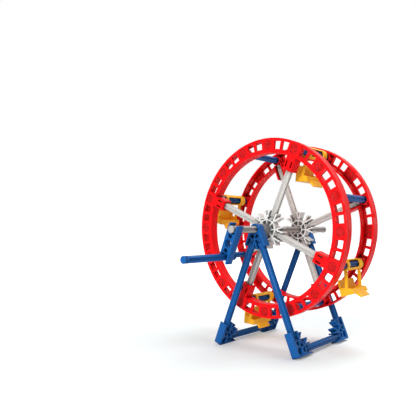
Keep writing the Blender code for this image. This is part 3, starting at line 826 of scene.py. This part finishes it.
class FERRIS_OT_wheel_clips(Operator):
    """Model the hubs, the crank arm and the collar on the axle"""

    bl_idname = "ferris.wheel_clips"
    bl_label = "Hubs, crank arm and collar"

    def execute(self, context):
        axle = node_middle("axle")
        hub = paint(model_clip("hub", [index * 2 * HALF_STEP for index in range(8)]), WHITE_ACETAL)
        for end, first in RIM_ENDS:
            node = f"{end}_hub"
            place = Matrix.Translation((axle.x, node_middle(node).y, axle.z))
            stand_for(hub, node, "wheel", place @ upright(first))
        arm = paint(model_clip("arm", [0.0, math.pi], collar=False, straight=True), BLUE_ACETAL)
        handle = node_middle("crank_handle")
        middle = ((axle.x + handle.x) / 2, node_middle("crank_arm").y, (axle.z + handle.z) / 2)
        turn = upright(CRANK_ANGLE + math.pi)
        stand_for(arm, "crank_arm", "wheel", Matrix.Translation(middle) @ turn)
        low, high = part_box("front_collar")
        half = (high.y - low.y) / 2
        collar = cylinder("collar", (high.z - low.z) / 2, -half, half, count=FINE_ROUND)
        carve(collar, cylinder("bore", slot_half(), -PAST, PAST, count=FINE_ROUND))
        round_edges(collar, COLLAR_EDGE)
        paint(tidy(collar), DARK_ACETAL)
        place = to_middle("front_collar") @ FACING_Y
        stand_for(collar, "front_collar", "wheel", place)
        drop(hub, arm, collar)
        return {"FINISHED"}


def window_spans():
    """The angles at which the windows of a rim quarter start and end, two to each step."""
    width = WINDOW_WIDTH / BOSS_CIRCLE
    half = WINDOW_BAR / BOSS_CIRCLE / 2
    spans = []
    for index in range(BOSSES):
        middle = (index + 0.5) * BOSS_STEP
        spans += [(middle - half - width, middle - half), (middle + half, middle + half + width)]
    return spans


def model_channel():
    """The channel of a rim quarter, before its windows are opened.

    Its section is cut from a plane and extruded, and spun round the axle.
    """
    begin = (FIT / 2 - JOINT_OFFSET) / BOSS_CIRCLE
    finish = begin + math.pi / 2 - FIT / BOSS_CIRCLE
    deselect()
    bpy.ops.mesh.primitive_plane_add(size=1.0)
    channel = bpy.context.object
    channel.name = "channel"
    middle = Matrix.Translation(((RIM_INNER + RIM_OUTER) / 2, 0.0, (WEB_UNDER + RIM_TOP) / 2))
    extent = Matrix.Diagonal((RIM_OUTER - RIM_INNER, 1.0, RIM_WEB, 1.0))
    move_mesh(channel, middle @ extent @ Matrix.Rotation(math.pi / 2, 4, "X"))
    edit(channel)
    inner_wall = RIM_INNER + RIM_FLANGE
    outer_wall = RIM_OUTER - RIM_FLANGE
    for radius in (inner_wall, WINDOW_LOW, WINDOW_HIGH, outer_wall):
        bpy.ops.mesh.select_all(action="SELECT")
        bpy.ops.mesh.bisect(plane_co=(radius, 0.0, 0.0), plane_no=(1.0, 0.0, 0.0))
    pick("EDGE", lambda co, edge: abs(co.z - WEB_UNDER) < ON_PLANE
         and not inner_wall <= co.x <= outer_wall)
    bpy.ops.mesh.extrude_region_move(TRANSFORM_OT_translate={"value": (0.0, 0.0, -RIM_TOP - WEB_UNDER)})
    bpy.ops.mesh.select_mode(type="FACE")
    bpy.ops.mesh.select_all(action="SELECT")
    bpy.ops.transform.rotate(value=-begin, orient_axis="Z", center_override=(0.0, 0.0, 0.0))
    stops = sorted([begin, finish] + [angle for span in window_spans() for angle in span])
    for start, end in zip(stops, stops[1:]):
        steps = max(1, round((end - start) / CHANNEL_STEP))
        bpy.ops.mesh.spin(steps=steps, angle=start - end, center=(0.0, 0.0, 0.0), axis=(0.0, 0.0, 1.0))
    bpy.ops.object.mode_set(mode="OBJECT")
    return channel


def in_window(co, normal, start, end):
    """Whether a face of a rim's web lies in the window between two angles."""
    in_web = abs(normal.z) > FACES_ALONG and co.z > WEB_UNDER - ON_PLANE
    return in_web and WINDOW_LOW < co.xy.length < WINDOW_HIGH and start < math.atan2(co.y, co.x) < end


def open_windows(channel):
    """Open each window in the web: its two faces are bridged by the window's walls."""
    edit(channel)
    merge_doubles()
    bpy.ops.mesh.normals_make_consistent(inside=False)
    for start, end in window_spans():
        pick("FACE", lambda co, normal: in_window(co, normal, start, end))
        bpy.ops.mesh.bridge_edge_loops()
    bpy.ops.object.mode_set(mode="OBJECT")


def boss_place(index):
    """The middle of a rim quarter's boss."""
    return polar(BOSS_CIRCLE, index * BOSS_STEP)


def boss_cutter(index, top):
    """What is cut away to sink a round boss a little below a face."""
    return cylinder("dish", sizes().boss_radius, top - sizes().boss_recess, top + MM, boss_place(index),
                    BOSS_ROUND)


def model_socket():
    """The socket that a spoke snaps into: a trough with a slit beside each of its walls."""
    trough = slot_half()
    outer = SOCKET_WIDTH / 2
    foot = SOCKET_EDGE - RIM_TOP
    head = RIM_TOP + LAP
    angles = [math.pi * i / ARCH_STEPS for i in range(ARCH_STEPS + 1)]
    section = [(-outer, foot), (-trough, foot)]
    section += [(-trough * math.cos(angle), trough * math.sin(angle)) for angle in angles]
    section += [(trough, foot), (outer, foot), (outer, head), (-outer, head)]
    socket = move_mesh(flat_piece("socket", [section], SOCKET_START, SOCKET_END, SOCKET_EDGE), FACING_X)
    for side in (-1, 1):
        low, high = sorted((side * (trough - SLIT_SHIFT), side * (trough - SLIT_WIDTH)))
        stop = SLIT_START + SLIT_LENGTH
        carve(socket, block("slit", (SLIT_START, low, SLIT_FLOOR), (stop, high, RIM_TOP + MM)))
    return socket


def model_plate():
    """The plate over a socket and over the joint to the next quarter, with a boss in it."""
    edge = SOCKET_WIDTH / 2 - SOCKET_EDGE
    start = SOCKET_START + SOCKET_EDGE
    end = RIM_OUTER - PLATE_EDGE
    half = [(start, edge), (RIM_INNER, edge), (RIM_INNER, PLATE_REACH), (end, PLATE_REACH)]
    outline = [Vector((x, -y)) for x, y in half] + [Vector(point) for point in reversed(half)]
    loops = [rounded(outline, PLATE_CORNER)]
    stop = SLIT_START + SLIT_LENGTH
    for side in (-1, 1):
        low, high = sorted((side * slot_half(), side * (slot_half() - SLIT_WIDTH)))
        loops.append([(SLIT_START, low), (stop, low), (stop, high), (SLIT_START, high)])
    top = RIM_TOP + PLATE_THICKNESS
    plate = flat_piece("plate", loops, WEB_UNDER + PLATE_SINK, top, THIN_EDGE)
    carve(plate, boss_cutter(0, top))
    return tidy(plate)


def model_cup(index):
    """The cup behind a boss, that takes the end of a rod between the rims."""
    cup = cylinder("cup", CUP_RADIUS, LAP - RIM_TOP, WEB_UNDER + LAP, boss_place(index), BOSS_ROUND)
    bore = sizes().rod_diameter / 2 + CUP_CLEARANCE
    carve(cup, cylinder("bore", bore, -PAST, WEB_UNDER, boss_place(index), BOSS_ROUND))
    round_edges(cup, RIM_EDGE)
    return cup


def ring_sector(name, inset, bottom, middle, half):
    """A short curved block on the underside of the web, a little way in from the rim's two edges."""
    steps = max(2, round(2 * half / SECTOR_STEP))
    angles = [middle - half + 2 * half * i / steps for i in range(steps + 1)]
    outline = [polar(RIM_INNER + inset, angle) for angle in angles]
    outline += [polar(RIM_OUTER - inset, angle) for angle in reversed(angles)]
    return flat_piece(name, [outline], bottom, WEB_UNDER + PAD_SINK, PAD_EDGE)


def model_pads():
    """The pads inside the channel behind the bosses, each between two ridges."""
    bottom = WEB_UNDER - sizes().pad_height
    reach = BOSS_STEP / 2 - (WINDOW_BAR / 2 + WINDOW_WIDTH + PAD_GAP) / BOSS_CIRCLE
    width = RIDGE_SIZE / BOSS_CIRCLE
    pads = []
    for index in range(1, BOSSES):
        middle = index * BOSS_STEP
        pads.append(ring_sector("pad", RIM_FLANGE + PAD_EDGE, bottom, middle, reach))
        for line in (middle - reach, middle + reach):
            pads.append(ring_sector("ridge", RIDGE_INSET, bottom - RIDGE_SIZE, line, width))
    return pads


def model_rim_quarter(name):
    """A rim quarter: the windowed channel with a boss at each step, a socket for the spoke at angle 0,
    a plate over the joint, cups behind two of the bosses, and the pads inside.
    """
    channel = model_channel()
    open_windows(channel)
    for index in range(1, BOSSES):
        carve(channel, boss_cutter(index, RIM_TOP))
    low = (RIM_INNER - PAST, -slot_half(), -PAST)
    high = (SPOKE_END + FIT, slot_half(), WEB_UNDER)
    carve(channel, block("trough", low, high))
    edit(channel)
    merge_doubles()
    bpy.ops.object.mode_set(mode="OBJECT")
    round_edges(channel, RIM_EDGE)
    shells = [channel, model_socket(), model_plate(), model_cup(0), model_cup(2), *model_pads()]
    return smooth(joined(name, *shells))


def is_etched(co, normal):
    """Whether a face of a rim quarter is the sunk face of a boss or the face of a pad."""
    if abs(normal.z) < FACES_ALONG:
        return False
    if normal.z < 0:
        return abs(co.z - (WEB_UNDER - sizes().pad_height)) < ON_FACE
    for index in range(BOSSES):
        top = RIM_TOP + (PLATE_THICKNESS if index == 0 else 0.0)
        on_boss = (co.xy - boss_place(index)).length < sizes().boss_radius
        if on_boss and abs(co.z - top + sizes().boss_recess) < ON_FACE:
            return True
    return False


class FERRIS_OT_rims(Operator):
    """Model one rim quarter and copy it round both rims"""

    bl_idname = "ferris.rims"
    bl_label = "Rims"

    def execute(self, context):
        axle = node_middle("axle")
        quarter = paint(model_rim_quarter("rim_quarter"), RED_ABS, ETCHED_ABS)
        paint_faces(quarter, 1, is_etched)
        turns = {"front": Matrix.Identity(4), "rear": Matrix.Rotation(math.pi, 4, "X")}
        for end, first in RIM_ENDS:
            place = Matrix.Translation((axle.x, node_middle(f"{end}_hub").y, axle.z))
            for index in range(4):
                turn = upright(first + index * math.pi / 2) @ turns[end]
                stand_for(quarter, f"{end}_rim_{index + 1}", "wheel", place @ turn)
        drop(quarter)
        return {"FINISHED"}


def side_block(name, points, low, high):
    """A block with sharp edges whose outline lies in XZ, thick along Y from low to high."""
    return move_mesh(flat_piece(name, [points], -high, -low, 0.0), FACING_Y)


def model_barrel():
    """The windowed barrel that turns on a rod."""
    wall = sizes().barrel_wall
    bore = barrel_bore()
    outer = bore / math.cos(math.pi / BARREL_SIDES) + wall
    half = SEAT_WIDTH / 2
    tall = BARREL_WINDOW["half"]
    barrel = move_mesh(cylinder("barrel", outer, -half, half, count=FINE_ROUND), FACING_Y)
    carve(barrel, move_mesh(cylinder("bore", bore, -SEAT_WIDTH, SEAT_WIDTH, count=FINE_ROUND), FACING_Y))
    carve(barrel, block("window", (wall / 2, BARREL_WINDOW["front"], -tall),
                        (3 * bore, BARREL_WINDOW["rear"], tall)))
    round_edges(barrel, THIN_EDGE)
    return barrel


def barrel_bore():
    """The radius of the hole along a seat's barrel."""
    return sizes().rod_diameter / 2 + BARREL_CLEARANCE


def model_tub():
    """The hollow tub of a seat, with a high back."""
    plate = SEAT_PLATE
    half = SEAT_WIDTH / 2
    back = SEAT_BACK_X + plate
    outline = [(SEAT_BACK_X, BACK_TOP_Z), (SEAT_BACK_X, SEAT_BOTTOM_Z),
               (SEAT_FRONT_X, SEAT_BOTTOM_Z + plate / 4), (SEAT_FRONT_X - plate / 2, ARM_FRONT_Z),
               (SEAT_BACK_X + 3 * plate, ARM_BACK_Z - plate / 2), (back, ARM_BACK_Z), (back, BACK_TOP_Z)]
    tub = side_block("tub", outline, -half, half)
    edit(tub)
    pick("EDGE", lambda co, edge: co.z > BACK_TOP_Z - ON_PLANE and abs(co.y) > half - ON_PLANE)
    bpy.ops.mesh.bevel(offset=BACK_CORNER, segments=5)
    bpy.ops.object.mode_set(mode="OBJECT")
    floor = SEAT_BOTTOM_Z + plate
    well = [(back, 0.0), (back, floor), (SEAT_FRONT_X - plate, floor), (SEAT_FRONT_X - 1.5 * plate, 0.0)]
    carve(tub, side_block("well", well, plate - half, half - plate))
    round_edges(tub, SEAT_EDGE)
    return tub


def model_footrest():
    """The footrest that hangs from the front of the tub."""
    plate = SEAT_PLATE
    tip_x = SEAT_FRONT_X + FOOTREST_REACH
    tip_z = SEAT_BOTTOM_Z - FOOTREST_DROP
    outline = [(SEAT_FRONT_X - plate, SEAT_BOTTOM_Z + plate), (SEAT_FRONT_X, SEAT_BOTTOM_Z + plate),
               (tip_x, tip_z + plate / 2), (tip_x - plate, tip_z),
               (SEAT_FRONT_X - 1.6 * plate, SEAT_BOTTOM_Z + plate / 2)]
    rest = side_block("footrest", outline, -FOOTREST_WIDTH / 2, FOOTREST_WIDTH / 2)
    round_edges(rest, SEAT_EDGE)
    return rest


def model_strap(side):
    """One of the two straps from the barrel to the tub."""
    top = -(barrel_bore() + sizes().barrel_wall / 2)
    foot = ARM_BACK_Z - 2 * SEAT_PLATE
    foot_x = SEAT_BACK_X + 3 * SEAT_PLATE
    outer = SEAT_WIDTH / 2 - STRAP_INSET
    low, high = sorted((side * outer, side * (outer - STRAP_THICKNESS)))
    half = STRAP_WIDTH / 2
    outline = [(-half, top), (foot_x, foot), (foot_x + STRAP_WIDTH, foot), (half, top)]
    strap = side_block("strap", outline, low, high)
    round_edges(strap, THIN_EDGE)
    return strap


def model_seat(name):
    """A seat, hung from the origin: a windowed barrel, a hollow tub, a footrest and two straps."""
    shells = [model_barrel(), model_tub(), model_footrest(), model_strap(-1), model_strap(1)]
    return tidy(joined(name, *shells))


class FERRIS_OT_seats(Operator):
    """Model one seat and hang it from each of the four rods"""

    bl_idname = "ferris.seats"
    bl_label = "Seats"

    def execute(self, context):
        axle = node_middle("axle")
        seat = paint(model_seat("seat"), YELLOW_ABS)
        for index, tilt in enumerate(SEAT_TILTS):
            rod = polar(BOSS_CIRCLE, SPOKE_ANGLE + index * math.pi / 2)
            y = node_middle(f"gondola_rod_{index + 1}").y + SEAT_SHIFT
            place = Matrix.Translation((axle.x + rod.x, y, axle.z + rod.y))
            name = f"gondola_{index + 1}"
            stand_for(seat, name, name, place @ Matrix.Rotation(-tilt, 4, "Y"))
        drop(seat)
        return {"FINISHED"}


def soft_light(name, width, power, location, target):
    """A large soft area light that faces a point."""
    deselect()
    bpy.ops.object.light_add(type="AREA", location=location)
    lamp = bpy.context.object
    lamp.name = name
    lamp.data.shape = "DISK"
    lamp.data.size = width
    lamp.data.energy = power
    lamp.rotation_euler = (Vector(target) - Vector(location)).to_track_quat("-Z", "Y").to_euler()


def white_studio():
    """A white room. The camera sees plain white, gloss mirrors a backdrop that is white behind the toy
    and dims towards the front, and the toy is lit evenly by less than either.
    """
    world = bpy.data.worlds.new("studio")
    bpy.context.scene.world = world
    world.use_nodes = True
    background = world.node_tree.nodes["Background"]
    background.inputs["Color"].default_value = (1.0, 1.0, 1.0, 1.0)
    rays = add_node(world, "ShaderNodeLightPath")
    place = add_node(world, "ShaderNodeTexCoord")
    axes = add_node(world, "ShaderNodeSeparateXYZ", Vector=place.outputs["Generated"])
    fade = {"From Min": BACKDROP_FADE[0], "From Max": BACKDROP_FADE[1], "To Min": ROOM_FRONT, "To Max": 1.0}
    backdrop = add_node(world, "ShaderNodeMapRange", fade, Value=axes.outputs["Y"])
    mirrored = add_node(world, "ShaderNodeMix", {0: 1.0, 2: ROOM_LIGHT}, _0=rays.outputs["Is Glossy Ray"],
                        _3=backdrop.outputs["Result"])
    seen = add_node(world, "ShaderNodeMix", {3: 1.0}, _0=rays.outputs["Is Camera Ray"],
                    _2=mirrored.outputs["Result"])
    world.node_tree.links.new(seen.outputs["Result"], background.inputs["Strength"])


def floor_finish():
    """A pale matt sweep that keeps the toy's shadow, and fades into the white behind it."""
    material = bpy.data.materials.new("pale matt floor")
    material.use_nodes = True
    tree = material.node_tree
    shader = tree.nodes["Principled BSDF"]
    shader.inputs["Base Color"].default_value = (*colours().floor, 1.0)
    shader.inputs["Roughness"].default_value = 0.9
    shader.inputs["Specular IOR Level"].default_value = 0.1
    shader.inputs["Emission Color"].default_value = (1.0, 1.0, 1.0, 1.0)
    rays = add_node(material, "ShaderNodeLightPath")
    place = add_node(material, "ShaderNodeTexCoord")
    distance = add_node(material, "ShaderNodeVectorMath", {"operation": "LENGTH", 0: (0.0, 0.0, 0.0)},
                        _0=place.outputs["Object"])
    fade = {"From Min": FLOOR_FADE[0], "From Max": FLOOR_FADE[1], "To Min": FLOOR_GLOW, "To Max": 1.0}
    faded = add_node(material, "ShaderNodeMapRange", fade, Value=distance.outputs["Value"])
    glow = add_node(material, "ShaderNodeMath", {"operation": "MULTIPLY"}, _0=faded.outputs["Result"],
                    _1=rays.outputs["Is Camera Ray"])
    tree.links.new(glow.outputs["Value"], shader.inputs["Emission Strength"])
    return material


class FERRIS_OT_stage(Operator):
    """Set up the floor, the lights and the camera"""

    bl_idname = "ferris.stage"
    bl_label = "Stage"

    def execute(self, context):
        axle = node_middle("axle")
        deselect()
        bpy.ops.mesh.primitive_plane_add(size=FLOOR_WIDTH)
        floor = bpy.context.object
        floor.name = "floor"
        floor.data.materials.append(floor_finish())
        white_studio()
        for name, width, power, location in LIGHTS:
            soft_light(name, width, power, location, (0.0, 0.0, axle.z))
        deselect()
        bpy.ops.object.camera_add(location=axle + CAMERA_FROM_AXLE,
                                  rotation=(math.pi / 2 - CAMERA_DOWN, 0.0, CAMERA_TURN))
        camera = bpy.context.object
        camera.name = "camera"
        camera.data.lens = CAMERA_LENS
        camera.data.shift_x, camera.data.shift_y = CAMERA_SHIFT
        camera.data.clip_start, camera.data.clip_end = CAMERA_CLIP
        scene = context.scene
        scene.camera = camera
        scene.view_settings.view_transform = "Standard"
        return {"FINISHED"}


PIECES = (FERRIS_OT_rods, FERRIS_OT_stand_clips, FERRIS_OT_wheel_clips, FERRIS_OT_rims, FERRIS_OT_seats,
          FERRIS_OT_stage)


class FERRIS_PT_panel(Panel):
    """The pieces of the ferris wheel, in the order in which they are made"""

    bl_idname = "FERRIS_PT_panel"
    bl_label = "Ferris Wheel"
    bl_space_type = "VIEW_3D"
    bl_region_type = "UI"
    bl_category = "Ferris Wheel"

    def draw(self, context):
        layout = self.layout
        settings = context.scene.ferris_wheel
        for group in (settings.sizes, settings.colours):
            box = layout.box()
            for name in group.__annotations__:
                box.prop(group, name)
        for piece in PIECES:
            layout.operator(piece.bl_idname)


CLASSES = (FERRIS_PG_sizes, FERRIS_PG_colours, FERRIS_PG_settings, *PIECES, FERRIS_PT_panel)


def register():
    """Register the classes, and add the settings to the scene."""
    for cls in CLASSES:
        bpy.utils.register_class(cls)
    bpy.types.Scene.ferris_wheel = PointerProperty(type=FERRIS_PG_settings)


def unregister():
    """Remove the settings and the classes."""
    del bpy.types.Scene.ferris_wheel
    for cls in reversed(CLASSES):
        bpy.utils.unregister_class(cls)


def main():
    """Make every piece and the stage."""
    register()
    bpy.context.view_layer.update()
    bpy.ops.ferris.rods()
    bpy.ops.ferris.stand_clips()
    bpy.ops.ferris.wheel_clips()
    bpy.ops.ferris.rims()
    bpy.ops.ferris.seats()
    bpy.ops.ferris.stage()


if __name__ == "__main__":
    main()
